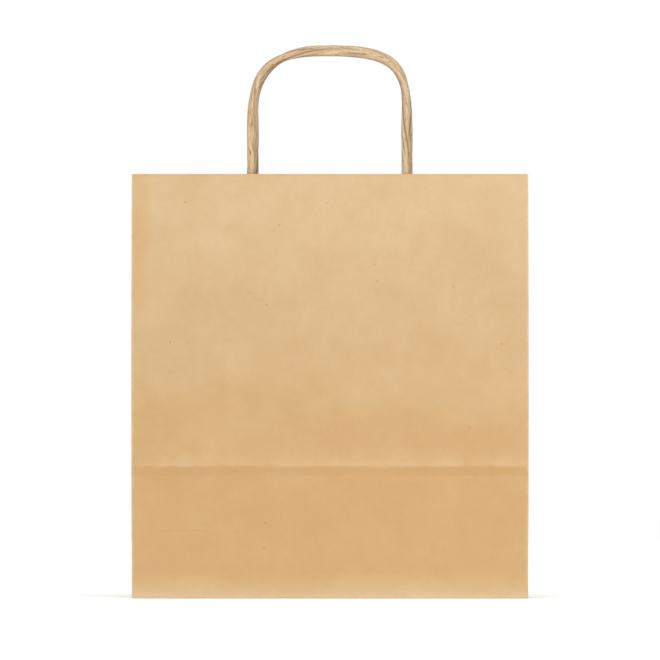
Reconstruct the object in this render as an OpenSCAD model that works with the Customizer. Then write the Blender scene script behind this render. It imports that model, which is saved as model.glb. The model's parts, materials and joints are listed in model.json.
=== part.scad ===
// Plain kraft paper gift bag with two twisted-paper rope handles.
// One sheet is folded into a tube with a block bottom. Each panel between two
// creases is a solid of its own, and the creases are the hinges between them.
// +Z is up, +Y points to the back, and the origin is the middle of the underside.

/* [Bag] */
// Width across the front panel
bag_w = 240; // [200:1:320]
// Depth of the side gussets when they are flat
bag_d = 80; // [60:1:120]
// Height from the floor to the edge of the mouth
bag_h = 257; // [220:1:340]
// Thickness of the paper panels
paper_t = 0.3; // [0.2:0.05:0.35]
// Lean of each wall towards the middle when the bag stands alone, in degrees
wall_lean = 0.54; // [0.3:0.02:0.8]

/* [Bottom] */
// Overlap of the two long bottom flaps
flap_lap = 24; // [10:1:40]

/* [Side seam] */
// Width of the glue flap that closes the tube
seam_w = 15; // [8:1:20]

/* [Handles] */
// Diameter of the twisted paper rope
rope_dia = 4.8; // [3:0.2:6]
// Distance between the two legs of one handle
leg_gap = 93.5; // [80:0.5:120]
// Rise of the front rope's centreline above the edge of the mouth
handle_rise = 73.5; // [60:0.5:120]
// Length of the straight legs above the edge of the mouth
leg_rise = 36; // [20:1:50]
// How far the left shoulder carries on upwards before it turns in
left_shoulder = 37; // [10:1:38]
// How far the crown carries on level towards the left shoulder
left_crown = 21; // [10:1:46]
// How far the right shoulder carries on upwards before it turns in
right_shoulder = 29; // [10:1:38]
// How far the crown carries on level towards the right shoulder
right_crown = 40; // [10:1:46]
// Distance of the front handle to the left of the middle, and of the back one to its right
handle_offset = 1.15; // [0:0.05:3]
// How much higher the back handle's crown stands than the front one's
back_extra = 3; // [0:0.5:5]

/* [Handle patches] */
// Width of the two paper strips that hold the rope's ends
patch_w = 190; // [150:1:200]
// Height of the strips
patch_h = 50; // [40:1:60]
// Distance of the strips below the edge of the mouth
patch_drop = 2; // [1:0.5:8]
// Length of rope held between the strips
rope_grip = 40; // [25:1:45]

/* [Hidden] */

FRONT = -1;
BACK = 1;
LEFT = -1;
RIGHT = 1;

kraft = [0.86, 0.71, 0.52];
kraft_inside = [0.82, 0.67, 0.48];
patch_brown = [0.74, 0.58, 0.40];
rope_tan = [0.80, 0.65, 0.45];

half_w = bag_w / 2;
half_d = bag_d / 2;
// Clearance that each crease keeps between the panels it joins
crease_gap = 0.2;
// The walls stand on three layers of folded bottom
foot_z = 3 * paper_t + crease_gap;
wall_h = bag_h - foot_z;
flap_l = half_d + flap_lap / 2;

// Each gusset half starts this far from its corner crease
corner_clear = 1;
// and stops this far short of the middle crease, which stays open
middle_clear = 3.6;
// Room along the slanting creases between a toe and its gusset halves
toe_clear = 0.6;

rope_r = rope_dia / 2;
// The rope lies in its channel with a little air around it
channel_air = 0.1;
rope_in = 2 * paper_t + channel_air + rope_r;
hump_r = rope_r + channel_air;
patch_top = wall_h - patch_drop;
// The legs bend this far above the edge of the mouth
bend_rise = 5;
// The loop starts this far below the bend, and the glued ends stop below that
loop_tail = 2.6;
ends_rise = 1;
rope_sides = 12;
shoulder_steps = 14;

// Angle of a gusset half to the depth direction, at a height along its corner crease:
// the two halves of a gusset always meet in the bag's middle plane.
function fold_at(h) = acos((half_d - h * sin(wall_lean)) / (half_d * cos(wall_lean)));

// The frame of a wall: X along it, Y into the bag, Z up it from its bottom crease.
module on_wall(end) {
    mirror([0, end == BACK ? 1 : 0, 0])
        translate([0, -half_d, foot_z])
            rotate([-wall_lean, 0, 0])
                children();
}

module wall(end) {
    color(kraft)
        on_wall(end)
            translate([-half_w, 0, 0])
                cube([bag_w, paper_t, wall_h]);
}

// A point of a gusset half in its wall's frame: h up the corner crease, d away from
// it across the gusset, and skin into the bag from the paper's outer face.
function gusset_point(side, h, d, skin) =
    let (a = fold_at(h))
    [
        side * (half_w - d * sin(a) - skin * cos(a)),
        paper_t + crease_gap + d * cos(a) - skin * sin(a),
        h
    ];

// One closed solid between two grids of points with the same rows and columns.
module sheet_between(outer, inner, turned) {
    rows = len(outer);
    cols = len(outer[0]);
    all_points = [for (grid = [outer, inner]) for (row = grid) for (p = row) p];
    function at(layer, r, c) = layer * rows * cols + r * cols + c;
    skins = [
        for (layer = [0, 1]) for (r = [0 : rows - 2]) for (c = [0 : cols - 2])
            let (a = at(layer, r, c), b = at(layer, r, c + 1),
                 e = at(layer, r + 1, c + 1), f = at(layer, r + 1, c))
            each layer == 0 ? [[a, b, e], [a, e, f]] : [[a, e, b], [a, f, e]]
    ];
    ring = concat(
        [for (c = [0 : cols - 1]) [0, c]],
        [for (r = [1 : rows - 1]) [r, cols - 1]],
        [for (c = [cols - 2 : -1 : 0]) [rows - 1, c]],
        [for (r = [rows - 2 : -1 : 1]) [r, 0]]
    );
    rim = [
        for (i = [0 : len(ring) - 1])
            let (p = ring[i], q = ring[(i + 1) % len(ring)],
                 a = at(0, p[0], p[1]), b = at(0, q[0], q[1]),
                 e = at(1, q[0], q[1]), f = at(1, p[0], p[1]))
            each [[a, f, e], [a, e, b]]
    ];
    faces = concat(skins, rim);
    polyhedron(all_points, turned ? [for (f = faces) [f[0], f[2], f[1]]] : faces);
}

// Half of a side gusset, from the slanting toe crease up to the mouth. It twists
// gently, because its foot is square to the side and its top is folded inwards.
module gusset_half(side, end) {
    rows = 12;
    cols = 4;
    widest = half_d - middle_clear;
    function grid(skin) = [
        for (r = [0 : rows]) [
            for (c = [0 : cols])
                let (d = corner_clear + (widest - corner_clear) * c / cols,
                     low = d + toe_clear,
                     h = low + (wall_h - low) * r / rows)
                gusset_point(side, h, d, skin)
        ]
    ];
    color(kraft)
        on_wall(end)
            sheet_between(grid(0), grid(paper_t), side == RIGHT);
}

// The triangle at the foot of a gusset. It leans in until its tip meets the middle
// crease at half the bag's depth above the bottom.
module gusset_toe(side) {
    lean = fold_at(half_d);
    reach = half_d - 2 * toe_clear;
    color(kraft)
        mirror([side == LEFT ? 1 : 0, 0, 0])
            translate([half_w, 0, foot_z])
                rotate([0, -lean, 0])
                    rotate([90, 0, -90])
                        linear_extrude(paper_t)
                            polygon([[-reach, 0], [reach, 0], [0, reach]]);
}

// A long bottom flap: its ends run in at 45 degrees, as the folded corners do.
module bottom_flap(end, level) {
    color(kraft)
        mirror([0, end == FRONT ? 1 : 0, 0])
            translate([0, 0, level * paper_t])
                linear_extrude(paper_t)
                    polygon([
                        [-half_w, half_d],
                        [half_w, half_d],
                        [half_w - flap_l, half_d - flap_l],
                        [flap_l - half_w, half_d - flap_l]
                    ]);
}

// The end of a gusset, folded flat over the long flaps inside the bag.
module bottom_tuck(side) {
    color(kraft_inside)
        mirror([side == LEFT ? 1 : 0, 0, 0])
            translate([half_w - flap_l, -half_d, 2 * paper_t])
                cube([flap_l, bag_d, paper_t]);
}

// The glue flap runs up the inside of the back wall beside the left corner crease.
module side_seam_flap() {
    corner_room = 3;
    mouth_room = 1;
    color(kraft_inside)
        on_wall(BACK)
            translate([corner_room - half_w, paper_t, corner_room])
                cube([seam_w, paper_t, wall_h - corner_room - mouth_room]);
}

function leg_x(end, side) = side * leg_gap / 2 + end * handle_offset;

module patch_backing(end) {
    color(patch_brown)
        on_wall(end)
            translate([-patch_w / 2, paper_t, patch_top - patch_h])
                cube([patch_w, paper_t, patch_h]);
}

// The covering strip is flat, with a raised channel over each end of the rope.
module patch_cover(end) {
    color(patch_brown)
        on_wall(end)
            translate([0, 2 * paper_t, patch_top - patch_h])
                linear_extrude(patch_h)
                    difference() {
                        union() {
                            translate([-patch_w / 2, 0])
                                square([patch_w, paper_t]);
                            for (side = [LEFT, RIGHT])
                                translate([leg_x(end, side), 0])
                                    channel_outline(hump_r + paper_t);
                        }
                        for (side = [LEFT, RIGHT])
                            translate([leg_x(end, side), 0])
                                channel_outline(hump_r);
                    }
}

// The outline of a channel: straight sides under a half-round top.
module channel_outline(r) {
    translate([0, hump_r])
        intersection() {
            circle(r, $fn = 48);
            translate([-r, 0])
                square([2 * r, r]);
        }
    translate([-r, 0])
        square([2 * r, hump_r]);
}

module handle_ends(end) {
    color(rope_tan)
        on_wall(end)
            for (side = [LEFT, RIGHT])
                translate([leg_x(end, side), rope_in, patch_top - rope_grip])
                    cylinder(r = rope_r, h = rope_grip + patch_drop + ends_rise, $fn = 48);
}

// A point at t from 0 to 1 along a Bezier curve with four control points.
function bezier(p, t) =
    let (u = 1 - t)
    u * u * u * p[0] + 3 * u * u * t * p[1] + 3 * u * t * t * p[2] + t * t * t * p[3];

// The centreline of one side of an arch in its wall's frame, from the top of the
// leg over the shoulder to the crown.
function shoulder_points(end, side, upwards, inwards) =
    let (leg = leg_x(end, side),
         low = wall_h + leg_rise,
         high = wall_h + handle_rise + (end == BACK ? back_extra : 0),
         mid = end * handle_offset,
         corners = [
             [leg, rope_in, low],
             [leg, rope_in, low + upwards],
             [mid + side * inwards, rope_in, high],
             [mid, rope_in, high]
         ])
    [for (i = [0 : shoulder_steps]) bezier(corners, i / shoulder_steps)];

function leg_points(end, side) =
    let (low = wall_h + bend_rise - loop_tail, high = wall_h + leg_rise, n = 3)
    [for (i = [0 : n - 1]) [leg_x(end, side), rope_in, low + (high - low) * i / n]];

function reversed(list) = [for (i = [len(list) - 1 : -1 : 0]) list[i]];

function up_one_side(end, side, upwards, inwards) =
    concat(leg_points(end, side), shoulder_points(end, side, upwards, inwards));

function without_last(list) = [for (i = [0 : len(list) - 2]) list[i]];

// The whole loop: up the left leg, over the arch and down the right leg.
function handle_route(end) = concat(
    without_last(up_one_side(end, LEFT, left_shoulder, left_crown)),
    reversed(up_one_side(end, RIGHT, right_shoulder, right_crown))
);

function unit(v) = v / norm(v);

// A round tube along a route that lies in one plane of constant Y.
module tube_along(route, r) {
    n = len(route);
    points = [
        for (i = [0 : n - 1])
            let (ahead = route[min(i + 1, n - 1)], behind = route[max(i - 1, 0)],
                 along = unit(ahead - behind),
                 across = [along[2], 0, -along[0]])
            for (k = [0 : rope_sides - 1])
                route[i] + r * (across * cos(360 * k / rope_sides)
                                + [0, 1, 0] * sin(360 * k / rope_sides))
    ];
    skin = [
        for (i = [0 : n - 2]) for (k = [0 : rope_sides - 1])
            let (a = i * rope_sides + k, b = i * rope_sides + (k + 1) % rope_sides)
            each [[a, a + rope_sides, b], [b, a + rope_sides, b + rope_sides]]
    ];
    first = [for (k = [0 : rope_sides - 1]) k];
    last = [for (k = [rope_sides - 1 : -1 : 0]) (n - 1) * rope_sides + k];
    polyhedron(points, concat(skin, [first, last]));
}

module handle(end) {
    color(rope_tan)
        on_wall(end)
            tube_along(handle_route(end), rope_r);
}

module front_wall() { wall(FRONT); }
module back_wall() { wall(BACK); }
module left_front_gusset() { gusset_half(LEFT, FRONT); }
module left_back_gusset() { gusset_half(LEFT, BACK); }
module right_front_gusset() { gusset_half(RIGHT, FRONT); }
module right_back_gusset() { gusset_half(RIGHT, BACK); }
module left_gusset_toe() { gusset_toe(LEFT); }
module right_gusset_toe() { gusset_toe(RIGHT); }
module bottom_outer_flap() { bottom_flap(BACK, 0); }
module bottom_inner_flap() { bottom_flap(FRONT, 1); }
module left_bottom_tuck() { bottom_tuck(LEFT); }
module right_bottom_tuck() { bottom_tuck(RIGHT); }
module front_patch_backing() { patch_backing(FRONT); }
module front_patch_cover() { patch_cover(FRONT); }
module front_handle() { handle(FRONT); }
module front_handle_ends() { handle_ends(FRONT); }
module back_patch_backing() { patch_backing(BACK); }
module back_patch_cover() { patch_cover(BACK); }
module back_handle() { handle(BACK); }
module back_handle_ends() { handle_ends(BACK); }

front_wall();
back_wall();
left_front_gusset();
left_back_gusset();
right_front_gusset();
right_back_gusset();
left_gusset_toe();
right_gusset_toe();
bottom_outer_flap();
bottom_inner_flap();
left_bottom_tuck();
right_bottom_tuck();
side_seam_flap();
front_patch_backing();
front_patch_cover();
front_handle();
front_handle_ends();
back_patch_backing();
back_patch_cover();
back_handle();
back_handle_ends();
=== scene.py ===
# %% [markdown]
# # A kraft paper gift bag with twisted-paper handles
#
# The real bag is one sheet of brown paper, folded and glued into a tube with a flat bottom, and
# two stiff paper ropes held inside the mouth by glued paper strips. So everything is built here
# the way paper behaves: as thin sheets that turn over their creases, lie on each other, and are
# never quite flat.
#
# The CAD frame knows where each panel is and how it swings. This script only adds the looks, so
# it reads the bag's sizes from the frame first.

import json
import math

import bmesh
import bpy
import numpy as np
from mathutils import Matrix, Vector, noise


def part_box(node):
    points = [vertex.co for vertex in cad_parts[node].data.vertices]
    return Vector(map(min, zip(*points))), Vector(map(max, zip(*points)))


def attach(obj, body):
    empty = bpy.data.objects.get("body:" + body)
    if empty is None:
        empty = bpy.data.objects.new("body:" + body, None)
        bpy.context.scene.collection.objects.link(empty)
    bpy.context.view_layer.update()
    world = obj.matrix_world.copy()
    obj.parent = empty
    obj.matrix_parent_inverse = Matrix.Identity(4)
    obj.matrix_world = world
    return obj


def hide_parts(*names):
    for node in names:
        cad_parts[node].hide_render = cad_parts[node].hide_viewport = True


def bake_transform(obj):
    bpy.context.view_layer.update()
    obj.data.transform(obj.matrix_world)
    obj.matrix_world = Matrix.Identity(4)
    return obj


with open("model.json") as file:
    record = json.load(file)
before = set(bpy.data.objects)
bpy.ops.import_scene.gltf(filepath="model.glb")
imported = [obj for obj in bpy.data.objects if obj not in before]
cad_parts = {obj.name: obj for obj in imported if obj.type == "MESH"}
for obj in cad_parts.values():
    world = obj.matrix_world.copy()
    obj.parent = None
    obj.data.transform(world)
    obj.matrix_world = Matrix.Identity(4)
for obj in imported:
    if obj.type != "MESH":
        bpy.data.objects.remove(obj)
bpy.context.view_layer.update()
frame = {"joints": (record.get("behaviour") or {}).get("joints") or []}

# %% [markdown]
# ## The bag's own measurements
#
# The joints say where the creases run: the walls turn on their bottom creases, and the gussets on
# the corner creases, which lean inwards a little.

# %% Measure the bag
MM = 0.001
joints = {j["name"]: j for j in frame["joints"]}
wall_hinge = joints["front_wall_lean"]["pos_m"]
corner_hinge = joints["right_front_gusset_fold"]
half_depth = -wall_hinge[1]
foot_z = wall_hinge[2]
half_width = corner_hinge["pos_m"][0]
lean = math.atan2(corner_hinge["axis"][1], corner_hinge["axis"][2])
sin_lean, cos_lean = math.sin(lean), math.cos(lean)
wall_top = (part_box("front_wall")[1].z - foot_z) / cos_lean
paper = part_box("bottom_outer_flap")[1].z
corner_in = (corner_hinge["pos_m"][1] + half_depth) / cos_lean
print("width", 2 * half_width, "depth", 2 * half_depth, "wall", round(wall_top, 4))
print("paper", round(paper, 5), "lean", round(math.degrees(lean), 3))

FRONT, BACK = -1, 1
LEFT, RIGHT = -1, 1
BOTH = (LEFT, RIGHT)
SIDES = ((LEFT, "left"), (RIGHT, "right"))


# %% [markdown]
# ## Working in a wall's own frame
#
# Each wall leans in by about half a degree. It is easier to draw a wall upright, with X along it,
# Y into the bag and Z up from the bottom crease, and to lean the finished points. The back wall is
# the mirror image.

# %% Lean points into place
def on_wall(points, end):
    """Takes points from a wall's own frame to the bag's frame."""
    p = np.asarray(points, float)
    y = -half_depth + p[..., 1] * cos_lean + p[..., 2] * sin_lean
    z = foot_z + p[..., 2] * cos_lean - p[..., 1] * sin_lean
    return np.stack([p[..., 0], y if end == FRONT else -y, z], axis=-1)


def ease(low, high, value):
    """0 up to low and 1 from high on, with a soft curve between them."""
    t = np.clip((np.asarray(value, float) - low) / (high - low), 0, 1)
    return t * t * (3 - 2 * t)


def peak(offset, width):
    """1 on a line, falling smoothly to nearly 0 two widths away from it."""
    return np.exp(-(offset / width) ** 2)


def ripple(x, z, size_x, size_z, seed):
    """Smooth random waves between about -1 and 1, with their own size along x and along z."""
    flat_x, flat_z = np.broadcast_arrays(x, z)
    return np.array([
        noise.fractal(Vector((a / size_x, b / size_z, seed)), 1.0, 2.0, 3)
        for a, b in zip(flat_x.ravel(), flat_z.ravel())
    ]).reshape(flat_x.shape)


# %% [markdown]
# ## Camera
#
# The bag is seen square from the front, from half the height of bag and handles, with hardly any
# perspective, like a catalogue shot taken from far away. A long lens does two things here: the
# panel's edges stay parallel, and the back handle hides almost exactly behind the front one.

# %% Place the camera
VIEW_WIDTH = 0.3995  # how wide a piece of the front wall's plane fills the picture
CAMERA_AWAY = 15.0
CAMERA_HEIGHT = 0.1625
SENSOR = 36.0

camera_data = bpy.data.cameras.new("camera")
camera_data.sensor_width = SENSOR
camera_data.lens = SENSOR * CAMERA_AWAY / VIEW_WIDTH
camera_data.clip_end = 100
camera = bpy.data.objects.new("camera", camera_data)
camera.location = (0.0, -half_depth - CAMERA_AWAY, CAMERA_HEIGHT)
camera.rotation_euler = (math.radians(90), 0, 0)
bpy.context.scene.collection.objects.link(camera)
bpy.context.scene.camera = camera
print("lens", round(camera_data.lens), "mm")

# %% [markdown]
# ## Floor and light
#
# Brown paper on a white table in a white room is lit from nearly everywhere. A plain white world
# gives that soft wash. One broad lamp from above, straight in front, gives the folds something to
# catch, and lets the bag's shadow fall behind it. A weak lamp from behind keeps the back readable,
# and a window on the right makes that end of the panel a shade lighter. The first two are sun
# lamps, whose light doesn't fade with distance, so the table stays evenly white. The colour
# transform leaves colours alone, to keep the brown true.

# %% Set the table
scene = bpy.context.scene
scene.view_settings.view_transform = "Standard"

HALF_TABLE = 4.0
TABLE_WHITE = (0.96, 0.96, 0.96, 1)
table_mesh = bpy.data.meshes.new("table")
table_mesh.from_pydata(
    [(x * HALF_TABLE, y * HALF_TABLE, 0) for x, y in ((-1, -1), (1, -1), (1, 1), (-1, 1))],
    [], [(0, 1, 2, 3)],
)
table = bpy.data.objects.new("table", table_mesh)
scene.collection.objects.link(table)

table_paint = bpy.data.materials.new("pale_table")
table_paint.use_nodes = True
table_shader = table_paint.node_tree.nodes["Principled BSDF"]
table_shader.inputs["Base Color"].default_value = TABLE_WHITE
table_shader.inputs["Roughness"].default_value = 0.9
table_mesh.materials.append(table_paint)
print("table", 2 * HALF_TABLE, "m across")

# %% Light the room
ROOM_LIGHT = 0.59  # for the bag; the camera itself sees the room as plain white
world = bpy.data.worlds.new("white_room")
scene.world = world
world.use_nodes = True
room_tree = world.node_tree
room = room_tree.nodes["Background"]
seen_directly = room_tree.nodes.new("ShaderNodeLightPath")
brightness = room_tree.nodes.new("ShaderNodeMapRange")
brightness.inputs["To Min"].default_value = ROOM_LIGHT
brightness.inputs["To Max"].default_value = 1.0
room_tree.links.new(seen_directly.outputs["Is Camera Ray"], brightness.inputs["Value"])
room_tree.links.new(brightness.outputs["Result"], room.inputs["Strength"])
room.inputs["Color"].default_value = (1, 1, 1, 1)

LAMP_AIM = Vector((0, 0, 0.13))


def add_lamp(name, kind, place, energy):
    """A lamp at a place, turned towards the bag."""
    data = bpy.data.lights.new(name, kind)
    data.energy = energy
    lamp = bpy.data.objects.new(name, data)
    lamp.location = place
    lamp.rotation_mode = "QUATERNION"
    lamp.rotation_quaternion = (Vector(place) - LAMP_AIM).to_track_quat("Z", "Y")
    scene.collection.objects.link(lamp)
    print(name, kind, energy)
    return data


add_lamp("key_lamp", "SUN", (0.0, -1.0, 1.15), 2.12).angle = math.radians(45)
add_lamp("back_lamp", "SUN", (-0.8, 1.0, 0.75), 0.8).angle = math.radians(80)
add_lamp("window", "AREA", (0.60, -0.70, 0.42), 1.5).size = 0.5


# %% [markdown]
# ## Paper, as a shader
#
# Kraft paper is unbleached wood fibre: one warm brown, but cloudy where the fibres lay thicker,
# streaked with short pale fibres, and dotted here and there with a dark speck of bark. The bag,
# the inside strips and the ropes are all cut from such paper, so its pattern is made once, as a
# node group, and each material gives it its own colours.
#
# The group takes a position and puts out masks for the clouds, for a slower drift in tone, for the
# fibres and for the specks, and a height for the fine relief. The fibres are noise drawn out in
# three directions, because two crossed directions would look like woven cloth.

# %% Node helpers
def add_node(tree, kind, values=None, **settings):
    """A new node, with plain values for some of its inputs."""
    node = tree.nodes.new(kind)
    for name, value in settings.items():
        setattr(node, name, value)
    for name, value in (values or {}).items():
        node.inputs[name].default_value = value
    return node


def feed(tree, socket, value):
    """Links a socket to another node's output, or gives it a plain number or colour."""
    if isinstance(value, bpy.types.NodeSocket):
        tree.links.new(value, socket)
    else:
        socket.default_value = (*value, 1) if isinstance(value, tuple) else value


def math_node(tree, operation, a, b, clamp=False):
    node = add_node(tree, "ShaderNodeMath", operation=operation, use_clamp=clamp)
    feed(tree, node.inputs[0], a)
    feed(tree, node.inputs[1], b)
    return node.outputs[0]


def noise_node(tree, position, scale, detail, stretch=(1, 1, 1), turn=(0, 0, 0), rough=0.5):
    """A noise texture, drawn out along the axes where stretch is small."""
    squeeze = add_node(tree, "ShaderNodeMapping", {"Rotation": turn, "Scale": stretch})
    tree.links.new(position, squeeze.inputs["Vector"])
    values = {"Scale": scale, "Detail": detail, "Roughness": rough}
    texture = add_node(tree, "ShaderNodeTexNoise", values)
    tree.links.new(squeeze.outputs["Vector"], texture.inputs["Vector"])
    return texture.outputs["Fac"]


def contrast(tree, value, low, high):
    """Spreads the values between low and high over 0 to 1."""
    ramp = add_node(tree, "ShaderNodeMapRange", {"From Min": low, "From Max": high})
    tree.links.new(value, ramp.inputs["Value"])
    return ramp.outputs["Result"]


def mix_colour(tree, factor, a, b, blend="MIX"):
    node = add_node(tree, "ShaderNodeMix", data_type="RGBA", blend_type=blend)
    for number, value in ((0, factor), (6, a), (7, b)):
        feed(tree, node.inputs[number], value)
    return node.outputs[2]


def tinted(tree, colour, tint):
    return mix_colour(tree, 1.0, colour, tint, "MULTIPLY")


def mark_on_mesh(tree, name, output="Fac"):
    return add_node(tree, "ShaderNodeAttribute", attribute_name=name).outputs[output]


# %% Build the paper pattern
# Scales of the noises, in repeats to a metre
CLOUD_SCALE = 26
DRIFT_SCALE = 17
FIBRE_SCALE = 2600
GRAIN_SCALE = 2400
SPECK_SCALE = 105
FIBRE_TURNS = (0.35, -0.6, 1.5)
RARE_SPECK = 0.80  # this share of the cells has no speck
BIGGEST_SPECK = 0.10  # radius, as a share of a cell


def build_paper_pattern():
    group = bpy.data.node_groups.new("kraft_pattern", "ShaderNodeTree")
    group.interface.new_socket("Position", in_out="INPUT", socket_type="NodeSocketVector")
    for name in ("Cloud", "Drift", "Fibre", "Speck", "Relief"):
        group.interface.new_socket(name, in_out="OUTPUT", socket_type="NodeSocketFloat")
    position = add_node(group, "NodeGroupInput").outputs["Position"]
    out = add_node(group, "NodeGroupOutput")

    cloud = noise_node(group, position, CLOUD_SCALE, 6, rough=0.78)
    group.links.new(contrast(group, cloud, 0.30, 0.70), out.inputs["Cloud"])
    drift = noise_node(group, position, DRIFT_SCALE, 2, stretch=(0.6, 0.6, 1.2))
    group.links.new(contrast(group, drift, 0.30, 0.70), out.inputs["Drift"])

    fibre = None
    for turn in FIBRE_TURNS:
        layer = noise_node(group, position, FIBRE_SCALE, 2, (1, 1, 0.14), (0, turn, 0.4 * turn))
        fibre = layer if fibre is None else math_node(group, "MAXIMUM", fibre, layer)
    group.links.new(contrast(group, fibre, 0.52, 0.78), out.inputs["Fibre"])

    dots = add_node(group, "ShaderNodeTexVoronoi", {"Scale": SPECK_SCALE})
    group.links.new(position, dots.inputs["Vector"])
    tone = add_node(group, "ShaderNodeSeparateColor")
    group.links.new(dots.outputs["Color"], tone.inputs["Color"])
    rare = math_node(group, "GREATER_THAN", tone.outputs["Red"], RARE_SPECK)
    size = math_node(group, "MULTIPLY", tone.outputs["Green"], BIGGEST_SPECK)
    inside_speck = math_node(group, "SUBTRACT", size, dots.outputs["Distance"])
    soft = math_node(group, "MULTIPLY", inside_speck, 30, clamp=True)
    group.links.new(math_node(group, "MULTIPLY", rare, soft), out.inputs["Speck"])

    grain = noise_node(group, position, GRAIN_SCALE, 3)
    relief = math_node(group, "ADD", math_node(group, "MULTIPLY", fibre, 0.6),
                       math_node(group, "MULTIPLY", grain, 0.5))
    group.links.new(relief, out.inputs["Relief"])
    return group


paper_pattern = build_paper_pattern()
print("pattern outputs:", [s.name for s in paper_pattern.interface.items_tree][1:])


# %% Start and finish a paper material
SHEEN = 0.35


def start_material(name):
    """A new material with the shared pattern in it."""
    material = bpy.data.materials.new(name)
    material.use_nodes = True
    tree = material.node_tree
    position = add_node(tree, "ShaderNodeTexCoord").outputs["Object"]
    pattern = add_node(tree, "ShaderNodeGroup", node_tree=paper_pattern)
    tree.links.new(position, pattern.inputs["Position"])
    return material, tree, position, pattern.outputs


def finish_material(tree, colour, rough, height, bump, bump_depth):
    shader = tree.nodes["Principled BSDF"]
    tree.links.new(colour, shader.inputs["Base Color"])
    tree.links.new(rough, shader.inputs["Roughness"])
    shader.inputs["Specular IOR Level"].default_value = SHEEN
    skin = add_node(tree, "ShaderNodeBump", {"Strength": bump, "Distance": bump_depth})
    tree.links.new(height, skin.inputs["Height"])
    tree.links.new(skin.outputs["Normal"], shader.inputs["Normal"])


# %% [markdown]
# ## Kraft paper for the bag
#
# The outside of the sheet is pressed smooth by the machine. Four things give it life:
#
# - the shared pattern of clouds, fibres and specks;
# - painted light: a paler, less warm brown at the mouth, as the lamp above and its sheen would
#   make it, turning to a deeper, warmer one low down. Its border wanders, because the height is
#   shifted by the slow drift;
# - pale, scuffed fibres on every fold, where the pressed skin is broken. On the walls the same
#   pale colour also paints light: a highlight fading upwards from the front's pressed line, and a
#   paler foot, partly scuffed and partly painted light bounced from the table;
# - a few places toned darker and warmer: a strip along the upper part of the left edge, the cut
#   mouth, and painted shade in the hollow under each pressed line.
#
# The last two are marked on the meshes as two attributes, one for the pale colour and one for
# the darker, so one shader serves every panel. A colour ramp holds the painted light, the change
# of brown with height; a plain mix of two colours can't hold a tone steady and then turn.

# %% Make the kraft materials
DRIFT_REACH = 0.16
TONE_AND_SHADE_TINT = (0.965, 0.89, 0.79)
CLOUD_TINT = (0.65, 1.0, 1.6)  # what a cloud takes from red, green and blue
FIBRE_TINT = (1.02, 1.025, 1.035)
PALE_WEAR_AND_LIGHT = (0.645, 0.545, 0.375)
PALE_WEAR_AND_LIGHT_SHARE = 0.6
SPECK_BROWN = (0.20, 0.12, 0.06)
SPECK_SHARE = 0.4


def kraft_paper(name, browns_with_painted_light, roughness, bump, cloudiness):
    """Its colour list holds heights, as a share of the wall, and the colour of the sheet there,
    paler higher up as painted light from the lamp above.
    """
    material, tree, position, pattern = start_material(name)
    split = add_node(tree, "ShaderNodeSeparateXYZ")
    tree.links.new(position, split.inputs["Vector"])
    share = math_node(tree, "DIVIDE", split.outputs["Z"], wall_top)
    drift = math_node(tree, "SUBTRACT", pattern["Drift"], 0.5)
    drift = math_node(tree, "MULTIPLY", drift, DRIFT_REACH)
    # Painted light: the ramp makes the sheet paler higher up, as the lamp above would light it.
    brown_with_painted_light = add_node(tree, "ShaderNodeValToRGB")
    brown_with_painted_light.color_ramp.interpolation = "EASE"
    stops = brown_with_painted_light.color_ramp.elements
    for stop, (height, colour) in zip(stops, (browns_with_painted_light[0], browns_with_painted_light[-1])):
        stop.position, stop.color = height, (*colour, 1)
    for height, colour in browns_with_painted_light[1:-1]:
        stops.new(height).color = (*colour, 1)
    tree.links.new(math_node(tree, "ADD", share, drift), brown_with_painted_light.inputs["Fac"])
    colour = brown_with_painted_light.outputs["Color"]

    # A darker, warmer tone; in the hollows under the pressed lines it is painted shade.
    toned = tinted(tree, colour, TONE_AND_SHADE_TINT)
    colour = mix_colour(tree, mark_on_mesh(tree, "toned"), colour, toned)
    cloudy = tinted(tree, colour, tuple(1 - cloudiness * part for part in CLOUD_TINT))
    colour = mix_colour(tree, pattern["Cloud"], cloudy, colour)
    fibred = tinted(tree, colour, FIBRE_TINT)
    colour = mix_colour(tree, pattern["Fibre"], colour, fibred)
    # Pale worn fibres, also used as painted light: a highlight above the front's pressed line and
    # light bounced onto the foot.
    worn_and_lit = mix_colour(tree, PALE_WEAR_AND_LIGHT_SHARE, colour, PALE_WEAR_AND_LIGHT)
    colour = mix_colour(tree, mark_on_mesh(tree, "fold_wear"), colour, worn_and_lit)
    speck = math_node(tree, "MULTIPLY", pattern["Speck"], SPECK_SHARE)
    colour = mix_colour(tree, speck, colour, SPECK_BROWN)
    smoother = math_node(tree, "MULTIPLY", pattern["Cloud"], -0.08)
    rough = math_node(tree, "ADD", smoother, roughness)
    finish_material(tree, colour, rough, pattern["Relief"], bump, 0.05 * MM)
    return material


outside = kraft_paper("kraft_outside", [
    (0.22, (0.486, 0.307, 0.137)),
    (0.40, (0.489, 0.311, 0.142)),
    (0.55, (0.494, 0.335, 0.172)),
    (1.00, (0.531, 0.377, 0.212)),
], roughness=0.62, bump=0.5, cloudiness=0.135)
inside = kraft_paper("kraft_inside", [
    (0.30, (0.465, 0.300, 0.150)),
    (1.00, (0.495, 0.335, 0.180)),
], roughness=0.80, bump=0.8, cloudiness=0.10)
strip_paper = kraft_paper("strip_paper", [
    (0.70, (0.410, 0.262, 0.135)),
    (1.00, (0.430, 0.280, 0.148)),
], roughness=0.74, bump=0.8, cloudiness=0.12)
print("materials:", outside.name, inside.name, strip_paper.name)


# %% [markdown]
# ## Sheets with a real thickness
#
# Every paper piece below is worked out as two skins, an outer and an inner one, as grids of
# points. Joining them along the rim gives a closed sheet with true paper edges.

# %% Join two skins into a sheet
SHARP_EDGE = math.radians(50)


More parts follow.
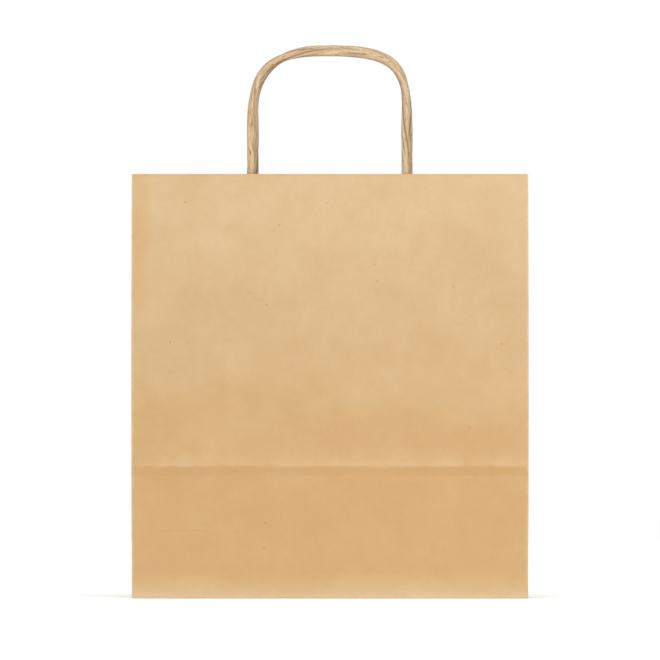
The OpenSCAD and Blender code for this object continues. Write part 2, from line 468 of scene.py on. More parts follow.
def rim_loop(rows, cols):
    """The index pairs round the edge of a grid, in order."""
    return ([(0, c) for c in range(cols)] + [(r, cols - 1) for r in range(1, rows)]
            + [(rows - 1, c) for c in range(cols - 2, -1, -1)]
            + [(r, 0) for r in range(rows - 2, 0, -1)])


def paper_sheet(name, outer, inner, materials=(outside, inside), **marks):
    """A closed sheet between two grids of points. Marks are grids of values from 0 to 1, kept on
    the mesh under their own names for the material to read."""
    rows, cols = outer.shape[:2]
    count = rows * cols

    def at(layer, r, c):
        return layer * count + r * cols + c

    faces = [
        (at(layer, r, c), at(layer, r, c + 1), at(layer, r + 1, c + 1), at(layer, r + 1, c))
        for layer in (0, 1) for r in range(rows - 1) for c in range(cols - 1)
    ]
    loop = rim_loop(rows, cols)
    faces += [
        (at(0, *a), at(0, *b), at(1, *b), at(1, *a)) for a, b in zip(loop, loop[1:] + loop[:1])
    ]
    mesh = bpy.data.meshes.new(name)
    points = np.concatenate([outer.reshape(-1, 3), inner.reshape(-1, 3)])
    mesh.from_pydata(points.tolist(), [], faces)
    which = np.ones(len(faces), np.int32)
    which[:(rows - 1) * (cols - 1)] = 0
    mesh.polygons.foreach_set("material_index", which)
    for material in materials:
        mesh.materials.append(material)
    for mark, grid in marks.items():
        kept = mesh.attributes.new(mark, "FLOAT", "POINT")
        kept.data.foreach_set("value", np.tile(grid.ravel(), 2).astype(np.float32))
    tidy_normals(mesh)
    piece = bpy.data.objects.new(name, mesh)
    scene.collection.objects.link(piece)
    print(f"{name}: {len(mesh.vertices)} points, {len(mesh.polygons)} faces")
    return piece


def tidy_normals(mesh):
    """Turns every face outwards, shades smoothly and keeps the paper's cut edges crisp."""
    work = bmesh.new()
    work.from_mesh(mesh)
    bmesh.ops.recalc_face_normals(work, faces=work.faces)
    work.to_mesh(mesh)
    work.free()
    mesh.polygons.foreach_set("use_smooth", [True] * len(mesh.polygons))
    mesh.set_sharp_from_angle(angle=SHARP_EDGE)


def spaced(low, high, step, *finer):
    """Positions from low to high a step apart, and closer together round some places. Each of
    finer is a place, the closer step, and how far it goes to either side."""
    places = list(np.linspace(low, high, round((high - low) / step) + 1))
    for place, close, reach in finer:
        places += list(np.arange(place - reach, place + reach, close))
    too_close = 0.4 * min([step, *(close for _, close, _ in finer)])
    kept = [low]
    for p in sorted(places):
        if p - kept[-1] > too_close and high - p > too_close:
            kept.append(p)
    return np.array([*kept, high])


# %% [markdown]
# ## The front and back walls
#
# A wall is the widest panel. At its two sides and its foot the same paper turns the corner, with
# a radius hardly bigger than its thickness, so the walls are drawn with short turned lips. Their
# surface carries the bag's history:
#
# - It was stored flat with the bottom folded up against it. On the front the folded edge pressed
#   through as a line one bag depth above the foot: a soft ridge above, a narrow hollow below. A
#   much fainter line, seen only near the left edge, lies half a depth up.
# - On the back the paper really was folded, half a depth up, and keeps a sharp valley.
# - The glued rope ends inside push faint upright welts out below the mouth.
# - The whole panel waves gently, because paper takes up damp unevenly.
#
# All of these are real movements of the surface, so the bag's outline shows them too.

# %% Shape of a turned corner
TURN = 0.4 * MM
FOOT_TURN = 0.7 * MM
FOOT_LIP = 1.4 * MM
SIDE_BULGE = 0.3 * MM


def turned(distance, radius, skin):
    """Follows a sheet round a right-angled turn. distance is measured along the outer skin from
    where the turn starts. Gives how far the point has gone forwards, and how far inwards."""
    angle = np.clip(distance / radius, 0, math.pi / 2)
    beyond = np.maximum(distance - radius * math.pi / 2, 0)
    forwards = np.where(distance < 0, distance, (radius - skin) * np.sin(angle))
    inwards = np.where(distance < 0, skin, radius - (radius - skin) * np.cos(angle) + beyond)
    return forwards, inwards


def corner_at(h):
    """Half the bag's width at a height: the corner creases bow out a hair in the middle."""
    return half_width + SIDE_BULGE * np.sin(math.pi * np.clip(h / wall_top, 0, 1))


def wall_skin(xs, zs, skin, relief):
    """Points of one skin of a wall. relief is how far the surface stands out."""
    x, z = np.meshgrid(xs, zs)
    edge = half_width - TURN
    side = np.sign(x)
    along, side_in = turned(np.abs(x) - edge, TURN, skin)
    start = FOOT_TURN - foot_z
    down, foot_in = turned(start - z, FOOT_TURN, skin)
    round_corner = np.sin(np.clip((np.abs(x) - edge) / TURN, 0, math.pi / 2)) ** 2
    tucked = foot_in - skin
    new_x = side * (edge + along + (corner_at(z) - half_width) * np.abs(x) / half_width)
    new_x -= side * tucked * round_corner
    y = side_in + tucked * (1 - round_corner)
    return np.stack([new_x, y - relief, start - down], axis=-1)


# %% The pressed lines
PRESS_HEIGHT = 0.85 * MM
RISE = 5.5 * MM  # how far the ridge reaches above its crest
HOLLOW = 6.0 * MM  # and how far the fall reaches below it
FALL_ROUNDING = 0.07
press_line = 2 * half_depth - 0.6 * MM
back_fold = half_depth - foot_z
thin_line = back_fold + 2 * MM


def pressed_ridge(z):
    """The line that a folded edge presses through the paper: it rises softly from above to a
    crest, and falls off evenly below. The square root rounds the bottom of the fall."""
    left = 1 - np.maximum(press_line - z, 0) / HOLLOW
    fall = 0.5 * (left + np.sqrt(left ** 2 + FALL_ROUNDING ** 2))
    crest = 0.5 * (1 + np.sqrt(1 + FALL_ROUNDING ** 2))
    rise = crest * np.exp(-np.maximum(z - press_line, 0) / RISE)
    return np.where(z > press_line, rise, fall)


# %% Measure the rope and its welts
WELT_HEIGHT = 0.38 * MM
WELT_WIDTH = 3.0 * MM
WELT_FOOT = 44 * MM  # below the mouth
WELT_FULL = 36 * MM
CHANNEL_AIR = 0.1 * MM


def rope_welts(x, z, middle):
    """Upright welts where the rope's glued ends lie behind the wall."""
    reach = ease(wall_top - WELT_FOOT, wall_top - WELT_FULL, z)
    legs = sum(peak(x - middle - side * leg_half_gap, WELT_WIDTH) for side in BOTH)
    return WELT_HEIGHT * legs * reach


def handle_middle(end_name):
    low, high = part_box(f"{end_name}_handle_ends")
    return (low.x + high.x) / 2


swing_from = joints["front_handle_swing"]["pos_m"]
rope_in = (swing_from[1] + half_depth) * cos_lean - (swing_from[2] - foot_z) * sin_lean
rope_radius = rope_in - 2 * paper - CHANNEL_AIR
ends_low, ends_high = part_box("front_handle_ends")
leg_half_gap = (ends_high.x - ends_low.x) / 2 - rope_radius
front_middle, back_middle = handle_middle("front"), handle_middle("back")
print("rope", round(2 * rope_radius, 5), "thick, legs", round(2 * leg_half_gap, 4), "apart")


# %% The belly and the waves
BELLY = 2.6 * MM
WAVE = 0.45 * MM
SMALL_WAVE = 0.10 * MM
FOOT_DIP = 0.55 * MM
DIP_HEIGHT = 11 * MM
DIP_WIDTH = 7 * MM


def near_edges(x, z, reach):
    """0 on a wall's side and foot creases, where the paper must stay on its hinges, and 1 away
    from them."""
    return ease(0, reach, half_width - np.abs(x)) * ease(0, reach, z)


def bowed(x, z, seed):
    """How far a wall stands out: a soft belly with waves on it. The handle strips stiffen the
    mouth, and the foot is held by the bottom, so the belly is fullest between them."""
    up = np.clip(z / wall_top, 0, 1)
    fullness = 0.30 * ease(0.0, 0.5, up) + 0.70 * np.sin(math.pi * up) ** 2
    belly = BELLY * fullness * np.cos(0.5 * math.pi * np.clip(x / half_width, -1, 1))
    waves = WAVE * ripple(x, z, 75 * MM, 55 * MM, seed)
    waves += SMALL_WAVE * ripple(x, z, 24 * MM, 15 * MM, seed + 6.5)
    dip = -FOOT_DIP * peak(z - DIP_HEIGHT, DIP_WIDTH)
    return belly + near_edges(x, z, 16 * MM) * (waves + dip)


# %% The relief of each wall
BOW_SEEDS = {FRONT: 1.7, BACK: 21.3}
FOLD_DEPTH = 0.9 * MM
FOLD_REACH = 3.2 * MM
THIN_WIDTH = 0.7 * MM
THIN_BEGINS = (-106 * MM, -98 * MM)
THIN_ENDS = (-78 * MM, -72 * MM)
WELT_FADE = 14 * MM


def side_fade(x):
    return ease(0, 3 * MM, half_width - np.abs(x))


def front_relief(x, z):
    across = np.zeros_like(z)
    strength = 1 + 0.5 * ripple(x, across, 55 * MM, 1, 4.1)
    wander = 0.6 * MM * ripple(x, across, 90 * MM, 1, 6.6)
    ridge = PRESS_HEIGHT * strength * pressed_ridge(z - wander) * side_fade(x)
    left_part = ease(*THIN_BEGINS, x) * (1 - ease(*THIN_ENDS, x))
    thin = (0.01 + 0.15 * left_part) * MM * peak(z - thin_line, THIN_WIDTH)
    marks = near_edges(x, z, WELT_FADE) * (thin + rope_welts(x, z, front_middle))
    return bowed(x, z, BOW_SEEDS[FRONT]) + ridge + marks


def back_relief(x, z):
    across = np.zeros_like(z)
    valley = -FOLD_DEPTH * np.exp(-np.abs(z - back_fold) / FOLD_REACH)
    valley *= (1 + 0.4 * ripple(x, across, 60 * MM, 1, 14.1)) * side_fade(x)
    welts = near_edges(x, z, WELT_FADE) * rope_welts(x, z, back_middle)
    return bowed(x, z, BOW_SEEDS[BACK]) + valley + welts


# %% Wear and toning of the walls
SIDE_WEAR = 0.8
FOOT_WEAR_AND_BOUNCE = 0.85
EDGE_STRIP = 11 * MM
STRIP_TONE = 0.8
HOLLOW_SHADE = 0.3
MOUTH_TONE = 0.5


def patchy(x, z, seed):
    """From 0 to 1, and mostly high: a fold is never scuffed evenly."""
    return np.clip(0.75 + 0.8 * ripple(x, z, 9 * MM, 9 * MM, seed), 0, 1)


def wall_wear_and_light(x, z, creases):
    """Scuffed fibres along the side creases, the foot and the pressed lines. Each crease has an
    amount of wear and how far it fades out upwards. Above the front's pressed line the pale band
    is a painted highlight on the ridge's lit side, and the pale foot is partly painted light
    bounced from the table."""
    wear = SIDE_WEAR * peak(np.maximum(half_width - np.abs(x), 0), 0.8 * MM)
    for place, (amount, fades) in creases.items():
        above = np.maximum(z - place, 0)
        below = np.maximum(place - z, 0)
        band = amount * np.exp(-above / fades) * peak(below, 0.9 * MM)
        wear = np.maximum(wear, band * (1 + 0.9 * ripple(x, 0 * z, 26 * MM, 1, 35.0)))
    wear = wear * patchy(x, z, 31.0)
    # Paler towards the foot: partly scuffed fibres, partly painted light bounced up from the table.
    foot = FOOT_WEAR_AND_BOUNCE * np.exp(-np.maximum(z + foot_z, 0) / (6.0 * MM))
    foot = foot * np.clip(0.9 + 0.35 * ripple(x, z, 45 * MM, 12 * MM, 33.0), 0, 1)
    return np.clip(np.maximum(wear, foot), 0, 1)


def wall_tone_and_shade(x, z, creases):
    """A darker, warmer tone on the strip along the left edge and the cut mouth, and painted shade in
    the hollows under the pressed lines.
    """
    uneven = half_width + x + 3.5 * MM * ripple(x, z, 30 * MM, 14 * MM, 37.0)
    strip = 1 - ease(0.55 * EDGE_STRIP, 1.15 * EDGE_STRIP, uneven)
    strip = STRIP_TONE * strip * ease(0.60, 0.82, z / wall_top)
    # Painted shade in the hollow just below each pressed line.
    hollow = sum(
        ease(-HOLLOW - MM, -HOLLOW + MM, z - place)
        * (1 - ease(-1.2 * MM, 0, z - place))
        for place in creases
    )
    mouth = MOUTH_TONE * ease(wall_top - 1.1 * MM, wall_top - 0.3 * MM, z)
    return np.clip(strip + HOLLOW_SHADE * hollow + mouth, 0, 1)


# %% Build the walls
SEAM_LINE = 2.2 * MM
side_end = half_width + (math.pi / 2 - 1) * TURN + corner_in


def build_wall(name, end, relief_of, creases, finer_at, left_end):
    """The mesh is finer round the corners and at the heights in finer_at."""
    bend = half_width - TURN / 2
    xs = spaced(left_end, side_end, 3 * MM,
                *((side * bend, 0.12 * MM, 0.9 * MM) for side in BOTH))
    zs = spaced(-foot_z - FOOT_LIP, wall_top, 2.4 * MM, (-foot_z, 0.18 * MM, 1.6 * MM),
                *((height, 0.6 * MM, 9 * MM) for height in finer_at))
    x, z = np.meshgrid(xs, zs)
    relief = relief_of(x, np.maximum(z, 0))
    outer, inner = (on_wall(wall_skin(xs, zs, skin, relief), end) for skin in (0.0, paper))
    return paper_sheet(name, outer, inner, fold_wear=wall_wear_and_light(x, z, creases),
                       toned=wall_tone_and_shade(x, z, creases))


# The front's pressed line gets a pale band fading 5.5 mm upwards: a painted highlight on the ridge's
# lit side.
front_panel = build_wall("front_panel", FRONT, front_relief, {press_line: (0.24, 5.5 * MM)},
                         (press_line, thin_line), -side_end)
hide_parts("front_wall")
back_panel = build_wall("back_panel", BACK, back_relief, {back_fold: (0.6, 1.3 * MM)},
                        (back_fold,), -half_width + SEAM_LINE)
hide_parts("back_wall")
for panel, body in ((front_panel, "front_wall"), (back_panel, "back_wall")):
    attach(panel, body)


# %% [markdown]
# ## The side gussets
#
# Each side is folded inwards along an upright middle crease, so the bag can fold flat. The crease
# stops half a depth above the foot, where two slanting creases run down to the bottom corners and
# leave a triangle, the toe. At the foot the side is square, and at the mouth it is drawn in: the
# two halves twist from one to the other, by as much as it takes to meet in the bag's middle plane.
#
# When the mouth is pinched, the twist grows from the foot upwards.

# %% How far a gusset is folded at a height
def fold_at(h):
    return np.arccos(np.clip((half_depth - h * sin_lean) / (half_depth * cos_lean), -1, 1))


def gusset_reach(h):
    return half_depth - corner_in / np.cos(fold_at(h))


def gusset_points(side, end, h, d, skin):
    """Points h up the corner crease and d across the gusset, in the bag's frame."""
    a = fold_at(h)
    x = side * (corner_at(h) - d * np.sin(a) - skin * np.cos(a))
    y = corner_in + d * np.cos(a) - skin * np.sin(a)
    return on_wall(np.stack([x, y, h + 0 * d], axis=-1), end)


# %% Build the four gusset halves
GUSSET_ROWS, GUSSET_COLS = 130, 30
PUFF = 1.1 * MM
PUFF_FADE = 8 * MM
SLANT_WEAR = 0.7
SLANT_WEAR_WIDTH = 1.2 * MM
widest = half_depth - corner_in


def build_gusset_half(name, side, end, seed):
    v, u = np.meshgrid(np.linspace(0, 1, GUSSET_ROWS), np.linspace(0, 1, GUSSET_COLS),
                       indexing="ij")
    low = u * widest
    h = low + v * (wall_top - low)
    d = u * gusset_reach(h)
    middle = ease(0, PUFF_FADE, d) * ease(0, PUFF_FADE, widest - d)
    middle = middle * ease(0, 10 * MM, h - low)
    puff = PUFF * middle * ripple(h, d, 60 * MM, 30 * MM, seed)
    outer = gusset_points(side, end, h, d, puff)
    inner = gusset_points(side, end, h, d, puff + paper)
    wear = np.maximum.reduce([peak(widest - d, 1.1 * MM), peak(d, 0.9 * MM),
                              SLANT_WEAR * peak(h - low, SLANT_WEAR_WIDTH)])
    piece = paper_sheet(name, outer, inner, fold_wear=wear * patchy(h, d, seed + 5))
    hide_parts(name.replace("_side", "_gusset"))
    return piece


for side, side_name in SIDES:
    for end, end_name in ((FRONT, "front"), (BACK, "back")):
        piece = build_gusset_half(f"{side_name}_{end_name}_side", side, end, 40.0 + 3 * side + end)
        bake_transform(piece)


# %% [markdown]
# ## The toes
#
# The triangle at the foot of each side hangs from the bottom crease and leans in to meet the
# gusset halves. Its slanting edges are taken from the halves' own lower edges, so the three
# panels share their creases exactly.

# %% Build the toes
TOE_ROWS, TOE_COLS = 40, 40


def build_toe(name, side):
    lip = np.array([-FOOT_LIP, -0.5 * FOOT_LIP, 0.1 * MM, 0.3 * MM, 0.5 * MM, FOOT_TURN]) - foot_z
    heights = np.concatenate([lip, np.linspace(0, widest, TOE_ROWS)])
    share = np.linspace(0, 1, TOE_COLS)[:, None]
    grids = []
    for skin in (0.0, paper):
        rows = []
        for h in heights:
            if h < 0:
                down, inwards = turned(np.array(FOOT_TURN - foot_z - h), FOOT_TURN, skin)
                front_end = np.array([side * (half_width - float(inwards)),
                                      -half_depth + corner_in, FOOT_TURN - float(down)])
            else:
                front_end = gusset_points(side, FRONT, h, h * gusset_reach(h) / widest, skin)
            back_end = front_end * np.array([1, -1, 1])
            rows.append(front_end * (1 - share) + back_end * share)
        grids.append(np.array(rows))
    outer, inner = grids
    up = np.maximum(heights, 0)[:, None]
    slant = widest - up - np.abs(outer[..., 1])
    wear = np.maximum(SLANT_WEAR * peak(slant, SLANT_WEAR_WIDTH),
                      0.8 * np.exp(-up / (2.6 * MM)) + 0 * slant)
    return paper_sheet(name, outer, inner, fold_wear=np.clip(wear, 0, 1))


for side, side_name in SIDES:
    toe = build_toe(f"{side_name}_toe_panel", side)
    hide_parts(f"{side_name}_gusset_toe")
    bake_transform(toe)


# %% [markdown]
# ## The bottom
#
# The bottom is made from the same tube: the ends of the gussets are folded in first, as two tucks,
# then the long flaps are folded over them and glued, one lapping over the other. Their ends run in
# at 45 degrees where the corner paper folds under. From below this gives the familiar envelope
# pattern, and from above two tucks with the inner flap showing between them.

# %% Build the flaps and tucks
FLAT_WAVE = 0.05 * MM
SKIN_GAP = 0.02 * MM  # air between two layers, so their skins never coincide


def flat_panel(name, corners, low, high, rows, cols, seed):
    """A thin panel between two levels, from its four corners, with edges that aren't dead flat."""
    u, v = np.meshgrid(np.linspace(0, 1, cols), np.linspace(0, 1, rows))
    c = [np.array(p, float) for p in corners]
    flat = ((1 - u)[..., None] * ((1 - v)[..., None] * c[0] + v[..., None] * c[3])
            + u[..., None] * ((1 - v)[..., None] * c[1] + v[..., None] * c[2]))
    wave = FLAT_WAVE * ripple(flat[..., 0], flat[..., 1], 20 * MM, 20 * MM, seed)
    bottom = np.dstack([flat, low + 0 * wave])
    top = np.dstack([flat, high + wave])
    edge = np.minimum.reduce([u * (cols - 1), (cols - 1) * (1 - u), v * (rows - 1),
                              (rows - 1) * (1 - v)])
    return paper_sheet(name, bottom, top, fold_wear=0.6 * np.exp(-edge))


flap_low, flap_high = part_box("bottom_outer_flap")
flap_deep = flap_high.y - flap_low.y
fold_x = half_width - FOOT_TURN
fold_y = half_depth - FOOT_TURN
short_half = half_width - flap_deep


def flap_corners(end):
    y_tip = end * (half_depth - flap_deep)
    return [(-fold_x, end * fold_y), (fold_x, end * fold_y),
            (short_half, y_tip), (-short_half, y_tip)]


outer_flap = flat_panel("outer_flap", flap_corners(BACK), SKIN_GAP, paper, 26, 90, 51.0)
inner_flap = flat_panel("inner_flap", flap_corners(FRONT), paper + SKIN_GAP, 2 * paper, 26, 90, 52.0)
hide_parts("bottom_outer_flap")
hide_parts("bottom_inner_flap")
tucks = []
for side, side_name in SIDES:
    near, far = side * fold_x, side * short_half
    wide = half_depth - 2 * FOOT_TURN
    tuck = flat_panel(f"{side_name}_tuck", [(near, -wide), (far, -wide), (far, wide), (near, wide)],
                      2 * paper + SKIN_GAP, 3 * paper, 30, 26, 53.0 + side)
    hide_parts(f"{side_name}_bottom_tuck")
    tucks.append(tuck)
for piece in (outer_flap, inner_flap, *tucks):
    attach(piece, "base")


# %% [markdown]
# ## The side seam
#
# The tube is closed by a glue flap: a narrow strip beyond the left back corner, stuck behind the
# back wall. The wall's cut edge stops just short of the corner, and the strip shows past it as a
# step one paper thickness deep.

# %% Build the glue flap
def build_seam():
    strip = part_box("side_seam_flap")[1].x + half_width
    arc = TURN * math.pi / 2
    turns = np.linspace(-(corner_in - TURN + 0.1 * MM), arc, 8)
    flat = np.linspace(arc, arc + strip, 12)[1:]
    along = np.concatenate([turns, flat])
    zs = spaced(0.15 * MM - foot_z, wall_top, 3 * MM)
    s, z = np.meshgrid(along, zs)
    relief = back_relief(-half_width + np.maximum(s, 0), np.maximum(z, 0))

    def skin_of(skin):
        angle = np.clip(s / TURN, 0, math.pi / 2)
        x = TURN - corner_at(z) - (TURN - skin) * np.cos(angle) + np.maximum(s - arc, 0)
        y = TURN + paper - (TURN - skin) * np.sin(angle) + np.maximum(-s, 0)
        return on_wall(np.stack([x, y - relief, z], axis=-1), BACK)

    return paper_sheet("seam_flap", skin_of(0.0), skin_of(paper))


seam = build_seam()
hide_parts("side_seam_flap")
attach(seam, "back_wall")


# %% [markdown]
# ## The handle strips
#
# Behind each wall two paper strips hold the rope's ends: a flat backing strip on the wall, and a
# covering strip that is pressed down over the rope while the glue is wet. The cover follows the
# rope closely on top, slopes away at its sides, and closes over the rope's end lower down. It is
# drawn as a height above the backing.

# %% Build the strips
strip_low, strip_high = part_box("front_patch_cover")
strip_half = (strip_high.x - strip_low.x) / 2
strip_top = wall_top - (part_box("front_wall")[1].z - strip_high.z) / cos_lean
strip_foot = strip_top - (strip_high.z - strip_low.z) / cos_lean
grip_foot = (ends_low.z - foot_z) / cos_lean
print("strips", round(2 * strip_half, 4), "wide, to", round(strip_top, 4))

STRIP_THICKNESS = 0.85 * paper
PRESSED_ON = 0.35 * MM  # how far the cover stands off the rope's top
COVER_FOOT = 5.6 * MM  # where the cover meets the backing again, from the rope's middle


def cover_height(x, z, middle):
    """How far the covering strip stands off the backing strip over the rope's ends."""
    tall = 2 * rope_radius + PRESSED_ON
    foot = ease(grip_foot - 5 * MM, grip_foot + 1.5 * MM, z)
    total = np.zeros_like(x)
    for side in BOTH:
        off = np.abs(x - middle - side * leg_half_gap)
        total = np.maximum(total, tall * (1 - ease(1.5 * MM, COVER_FOOT, off)))
    return foot * total


def build_strips(end_name, end, middle, relief_of, seed):
    xs = spaced(-strip_half, strip_half, 3 * MM,
                *((middle + side * leg_half_gap, 0.4 * MM, 7.2 * MM) for side in BOTH))
    zs = spaced(strip_foot, strip_top, 1.6 * MM)
    x, z = np.meshgrid(xs, zs)
    ragged = 0.35 * MM * ripple(z, x, 4 * MM, 40 * MM, seed) * (np.abs(x) > strip_half - MM)
    glue = 0.07 * MM * np.abs(ripple(x, z, 7 * MM, 9 * MM, seed + 2))
    over_rope = cover_height(x, z, middle)
    on_wall_paper = relief_of(x, z)
    under_cover = np.where(over_rope > 0, bowed(x, z, BOW_SEEDS[end]), on_wall_paper)
    stands = {
        "backing": paper + SKIN_GAP - on_wall_paper,
        "cover": 2 * paper + SKIN_GAP + glue + over_rope - under_cover,
    }
    edge = np.minimum(strip_half - np.abs(x), np.minimum(strip_top - z, z - strip_foot))
    wear = 0.5 * np.exp(-edge / (0.7 * MM)) + 0.35 * (over_rope > 0.8 * over_rope.max())
    for part, stand in stands.items():
        near_skin = np.stack([x + ragged, stand, z], axis=-1)
        far_skin = np.stack([x + ragged, stand + STRIP_THICKNESS, z], axis=-1)
        piece = paper_sheet(f"{end_name}_strip_{part}", on_wall(far_skin, end),
                            on_wall(near_skin, end), (strip_paper, strip_paper), fold_wear=wear)
        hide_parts(f"{end_name}_patch_{part}")
        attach(piece, f"{end_name}_wall")


build_strips("front", FRONT, front_middle, front_relief, 61.0)
build_strips("back", BACK, back_middle, back_relief, 71.0)


# %% [markdown]
# ## Paper rope for the handles
#
# The handle is a strip of the same kraft paper, rolled and twisted tight while damp, so it dries
# into a stiff round cord. What shows is the strip's free edge, winding round as one long spiral
# step, and beside it a few pleats that come and go. Each pleat catches light along its crest. The
# step and the pleats' grooves get a painted brown shade, and so do the small slits that open where
# the paper has torn. The twist is slow, about two turns over the whole loop. The pleats are
# deepest, with the darkest painted shade, at the crown, and shallow on the right leg, which was
# pulled tighter.
#
# The surface is worked out in the twisted frame: an angle round the rope that turns as it goes
# along. The same coordinates are stored on the mesh, so the streaks run with the pleats.

# %% Colour of the rope
STREAK_DARK = (0.485, 0.332, 0.180)
STREAK_PALE = (0.690, 0.527, 0.338)
THREAD_TINT = (0.84, 0.81, 0.77)
ROPE_CLOUD_TINT = (0.92, 0.92, 0.90)
# Painted shade for the grooves and slits of the rope.
GROOVE_SHADE_BROWN = (0.17, 0.095, 0.045)
GROOVE_SHADE_SHARE = 0.9


def rope_material():
    material, tree, _, pattern = start_material("twisted_paper")
    strand = mark_on_mesh(tree, "strand", "Vector")
    streak = contrast(tree, noise_node(tree, strand, 2.6, 4), 0.33, 0.68)
    thread = contrast(tree, noise_node(tree, strand, 9, 3), 0.35, 0.65)
    colour = mix_colour(tree, streak, STREAK_DARK, STREAK_PALE)
    colour = mix_colour(tree, thread, tinted(tree, colour, THREAD_TINT), colour)
    cloudy = tinted(tree, colour, ROPE_CLOUD_TINT)
    colour = mix_colour(tree, pattern["Cloud"], cloudy, colour)
    slit = contrast(tree, noise_node(tree, strand, 5.0, 1), 0.64, 0.71)
    # Painted shade: the grooves and the slits are coloured dark brown, as shadow inside them.
    painted_shade = math_node(tree, "MAXIMUM", mark_on_mesh(tree, "groove_shade"), slit)
    shade = math_node(tree, "MULTIPLY", painted_shade, GROOVE_SHADE_SHARE)
    colour = mix_colour(tree, shade, colour, GROOVE_SHADE_BROWN)
    colour = mix_colour(tree, pattern["Speck"], colour, SPECK_BROWN)
    rough = math_node(tree, "ADD", math_node(tree, "MULTIPLY", streak, -0.1), 0.74)
    fine_relief = math_node(tree, "MULTIPLY", pattern["Relief"], 0.4)
    height = math_node(tree, "SUBTRACT", math_node(tree, "ADD", thread, fine_relief), slit)
    finish_material(tree, colour, rough, height, 0.8, 0.15 * MM)
    return material


twisted_paper = rope_material()


# %% [markdown]
# ## The rope's route
#
# Both ropes were bent over the same former: straight legs, then shoulders that aren't quite alike,
# because the rope was pulled through from one side. One cubic curve per side gives that with two
# numbers each: how far the leg carries on upwards, and how far the crown carries on level. The
# glued ends follow the belly of the wall they lie on, and the loop leans out from the mouth a
# little, as a rope does that was folded down in its box. The two ropes sit a hair to the left and
# right of the bag's middle, and at the shoulders they lie closer together.

# %% Draw the route
LEG_RISE = 36 * MM
SHOULDERS = {LEFT: (37 * MM, 21 * MM), RIGHT: (29 * MM, 40 * MM)}
DRAWN_TOGETHER = 0.65
SHOULDER_RISE = 48 * MM
SHOULDER_REACH = 13 * MM
CROWN_LEAN = 2.5 * MM
ROPE_STEP = 0.8 * MM


def bezier(corners, t):
    t = t[:, None]
    a, b, c, d = np.array(corners, float)
    return (1 - t) ** 3 * a + 3 * (1 - t) ** 2 * t * b + 3 * (1 - t) * t ** 2 * c + t ** 3 * d


def half_route(side, middle, crown, foot):
    """From the glued end up one leg and over the shoulder to the crown, in the wall's frame."""
    leg = middle + side * leg_half_gap
    upwards, inwards = SHOULDERS[side]
    low = wall_top + LEG_RISE
    straight = np.array([(leg, z) for z in np.linspace(foot, low, 60)[:-1]])
    arch = bezier([(leg, low), (leg, low + upwards), (middle + side * inwards, crown),
                   (middle, crown)], np.linspace(0, 1, 80))
    route = np.concatenate([straight, arch])
    above_shoulder = route[:, 1] - wall_top - SHOULDER_RISE
    route[:, 0] -= DRAWN_TOGETHER * middle * peak(above_shoulder, SHOULDER_REACH)
    return route


def even_steps(points, step):
    """The same line with its points an even step apart, and the distance to each."""
    legs = np.linalg.norm(np.diff(points, axis=0), axis=1)
    far = np.concatenate([[0], np.cumsum(legs)])
    wanted = np.linspace(0, far[-1], round(far[-1] / step) + 1)
    return np.stack([np.interp(wanted, far, points[:, i]) for i in range(2)], axis=1), wanted


def rope_route(end_name, middle):
    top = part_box(f"{end_name}_handle")[1].z
    crown = (top - foot_z + rope_in * sin_lean) / cos_lean - rope_radius
    foot = (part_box(f"{end_name}_handle_ends")[0].z - foot_z + rope_in * sin_lean) / cos_lean
    left, right = (half_route(side, middle, crown, foot) for side in BOTH)
    return even_steps(np.concatenate([left[:-1], right[::-1]]), ROPE_STEP)


def rope_stands_out(line, middle, end):
    """How far the rope's middle lies outside its flat place: it follows the wall it is glued to,
    and above the mouth it leans out."""
    x, z = line[:, 0], line[:, 1]
    glued = np.minimum(z, wall_top)
    legs = [bowed(0 * x + middle + side * leg_half_gap, glued, BOW_SEEDS[end])
            for side in BOTH]
    share = np.clip((x - middle) / (2 * leg_half_gap) + 0.5, 0, 1)
    above = np.maximum(z - wall_top, 0) / (z.max() - wall_top)
    return legs[0] * (1 - share) + legs[1] * share + CROWN_LEAN * above ** 2


# %% Twist the rope
ROPE_SIDES = 72
PITCH = 100 * MM
FREE_EDGE_STEP = 0.30 * MM
OVALNESS = 0.06 * MM
WOBBLE = 0.25 * MM
STREAK_LENGTH = 32 * MM
PLEATS = (  # place round the rope as a share of a turn, depth, half width in radians
    (0.14, 0.24 * MM, 0.17),
    (0.31, 0.15 * MM, 0.22),
    (0.45, 0.28 * MM, 0.16),
    (0.62, 0.14 * MM, 0.24),
    (0.79, 0.22 * MM, 0.18),
)


def along_noise(far, size, seed):
    return np.array([noise.noise(Vector((v / size, seed, 0.5))) for v in far])[:, None]


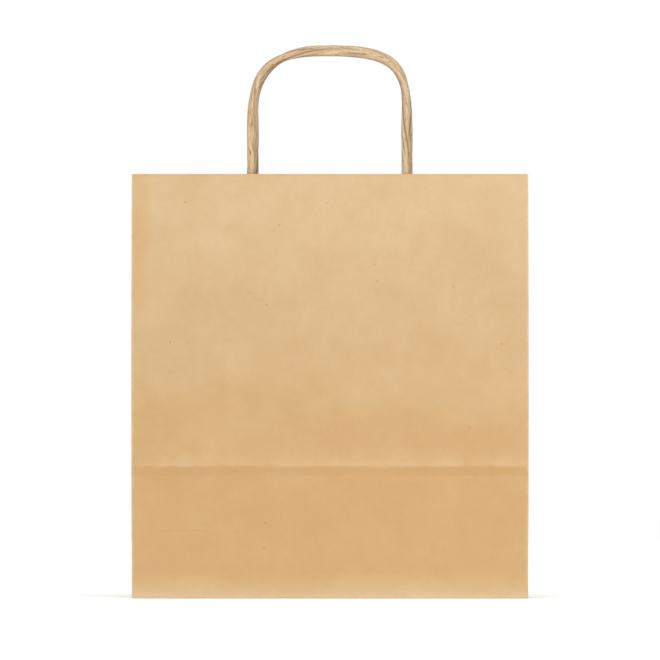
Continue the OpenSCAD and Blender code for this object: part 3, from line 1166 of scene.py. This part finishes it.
def rope_profile(angle, far, edge_at_crown, seed):
    """How far the surface stands in from the full radius, how much painted shade its grooves
    get, and the twisted angle. edge_at_crown is where the strip's free edge lies round the rope's
    crown."""
    s = far[:, None]
    wander = 0.5 * along_noise(far, 30 * MM, seed)
    twisted = angle - edge_at_crown + 2 * math.pi * (s - far[-1] / 2) / PITCH + wander
    turn = (twisted / (2 * math.pi)) % 1
    inset = FREE_EDGE_STEP * np.minimum(turn / 0.93, (1 - turn) / 0.07)
    inset += OVALNESS * (1 + np.cos(2 * twisted + 0.8))
    # Painted shade along the step of the free edge.
    groove_shade = 0.95 * peak(turn - 0.965, 0.042)
    share = s / far[-1]
    # The slack deepens the pleats and darkens their painted shade at the crown.
    slack = 0.65 * (1 + peak(share - 0.5, 0.16)) * (1 - 0.45 * ease(0.66, 0.76, share))
    for number, (place, depth, width) in enumerate(PLEATS):
        strength = np.clip(0.36 + 1.9 * along_noise(far, 22 * MM, seed + 10 + number), 0, 1)
        strength = np.minimum(strength * slack, 1)
        sway = 0.25 * along_noise(far, 17 * MM, seed + 20 + number)
        off = ((turn - place + 0.5) % 1 - 0.5) * 2 * math.pi + sway
        inset = inset + strength * depth * peak(off, width)
        groove_shade = np.maximum(groove_shade, strength ** 2 * peak(off, 0.9 * width))
    return inset, np.clip(groove_shade, 0, 1), twisted


def tube_faces(rings, sides):
    """Faces of a closed tube whose two end points come after its rings."""
    ring = [(k, (k + 1) % sides) for k in range(sides)]
    faces = [(r + a, r + b, r + sides + b, r + sides + a)
             for r in range(0, (rings - 1) * sides, sides) for a, b in ring]
    count = rings * sides
    for r, tip in ((0, count), (count - sides, count + 1)):
        faces += [(r + a, r + b, tip) for a, b in ring]
    return faces


def build_rope(name, end_name, end, middle, edge_at_crown, seed):
    line, far = rope_route(end_name, middle)
    ahead = np.gradient(line, axis=0)
    ahead /= np.linalg.norm(ahead, axis=1)[:, None]
    angle = np.linspace(0, 2 * math.pi, ROPE_SIDES, endpoint=False)[None, :]
    inset, groove_shade, twisted = rope_profile(angle, far, edge_at_crown, seed)
    radius = rope_radius + 0.12 * MM - inset
    wobble = WOBBLE * along_noise(far, 22 * MM, seed + 3)
    across = radius * np.cos(angle) + wobble
    into_bag = rope_in + radius * np.sin(angle) - rope_stands_out(line, middle, end)[:, None]
    rings = on_wall(np.stack([
        line[:, :1] + ahead[:, 1:] * across,
        into_bag,
        line[:, 1:] - ahead[:, :1] * across,
    ], axis=-1), end)
    tips = [rings[0].mean(axis=0), rings[-1].mean(axis=0)]
    mesh = bpy.data.meshes.new(name)
    mesh.from_pydata([*rings.reshape(-1, 3).tolist(), *(t.tolist() for t in tips)], [],
                     tube_faces(len(far), ROPE_SIDES))
    mesh.materials.append(twisted_paper)
    depth = mesh.attributes.new("groove_shade", "FLOAT", "POINT")
    depth.data.foreach_set("value", np.append(groove_shade.ravel(), [0, 0]).astype(np.float32))
    lengthwise = 0 * twisted + far[:, None] / STREAK_LENGTH + seed
    strand = np.stack([np.cos(twisted), np.sin(twisted), lengthwise], axis=-1)
    strand = np.concatenate([strand.reshape(-1, 3), np.zeros((2, 3))])
    held = mesh.attributes.new("strand", "FLOAT_VECTOR", "POINT")
    held.data.foreach_set("vector", strand.astype(np.float32).ravel())
    tidy_normals(mesh)
    rope = bpy.data.objects.new(name, mesh)
    scene.collection.objects.link(rope)
    print(f"{name}: {1000 * far[-1]:.0f} mm of rope, {len(mesh.vertices)} points")
    return rope


# %% Build and bend the handles
for end_name, end, middle, edge_at_crown, seed in (
    ("front", FRONT, front_middle, 1.20 * math.pi, 3.0),
    ("back", BACK, back_middle, 0.30 * math.pi, 9.0),
):
    rope = build_rope(f"{end_name}_rope", end_name, end, middle, edge_at_crown, seed)
    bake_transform(rope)
    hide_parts(f"{end_name}_handle", f"{end_name}_handle_ends")
